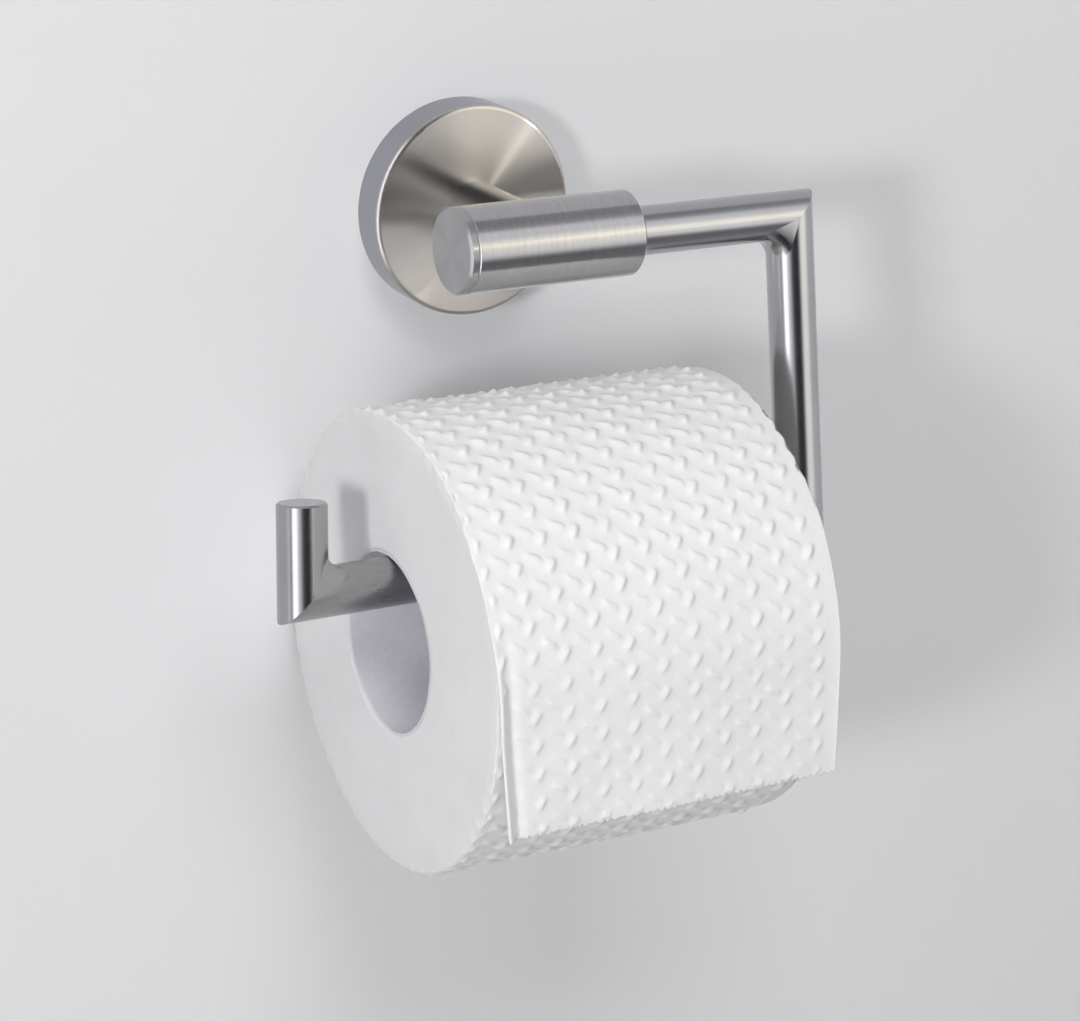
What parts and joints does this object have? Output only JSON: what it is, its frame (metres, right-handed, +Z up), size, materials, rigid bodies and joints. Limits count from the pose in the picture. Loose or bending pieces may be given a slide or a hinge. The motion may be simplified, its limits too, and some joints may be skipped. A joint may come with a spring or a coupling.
{
  "type": "toilet paper holder",
  "caption": "Wall-mounted holder with a round rosette, a short post, a horizontal barrel and a swinging mitred rod arm that carries a loaded paper roll with its free sheet hanging in front.",
  "frame": {"origin": "centre of the rosette on the wall plane, the centre of the two wall fixings", "axes": "+X along the wall to the viewer's right, +Y into the wall, +Z up"},
  "size_m": [0.1581, 0.1515, 0.1824],
  "materials": {
    "brushed_face": "turned brushing around the centre, satin",
    "brushed_barrel": "brushed around the axis, satin",
    "satin_rod": "fine satin",
    "plain_steel": "zinc plated",
    "spring_steel": "phosphated",
    "bush_plastic": "turned acetal",
    "sheet_paper": "soft embossed tissue",
    "roll_paper": "loosely wound soft embossed tissue",
    "core_card": "grey card"
  },
  "bodies": {
    "wall_side": {"wall_plate": "plain_steel", "wall_screws": "plain_steel", "rosette": "brushed_face", "grub_screw": "plain_steel", "post": "satin_rod", "post_screw": "plain_steel", "barrel": "brushed_barrel", "end_cap": "brushed_barrel", "bush_left": "bush_plastic", "bush_right": "bush_plastic"},
    "arm": {"upper_rod": "satin_rod", "leg": "satin_rod", "lower_rod": "satin_rod", "stub": "satin_rod", "weld_fillets": "satin_rod", "circlip": "spring_steel", "retaining_washer": "plain_steel", "retaining_screw": "plain_steel"},
    "hanging_paper": {"paper_sheet": "sheet_paper"},
    "roll": {"paper_roll": "roll_paper", "core_tube": "core_card"}
  },
  "joints": [
    {"name": "arm_swing", "type": "hinge", "parent": "wall_side", "child": "arm", "pos_m": [0, -0.047, 0], "axis": [-1, 0, 0], "range_deg": [0, 115]},
    {"name": "sheet_hang", "type": "hinge", "parent": "arm", "child": "hanging_paper", "pos_m": [0, -0.05951, -0.07902], "axis": [-1, 0, 0], "range_deg": [-115, 0]},
    {"name": "roll_spin", "type": "hinge", "parent": "hanging_paper", "child": "roll", "pos_m": [0, -0.05951, -0.09537], "axis": [1, 0, 0], "continuous": true}
  ],
  "couplings": [
    {"joint": "sheet_hang", "follows": "arm_swing", "ratio": -1}
  ]
}
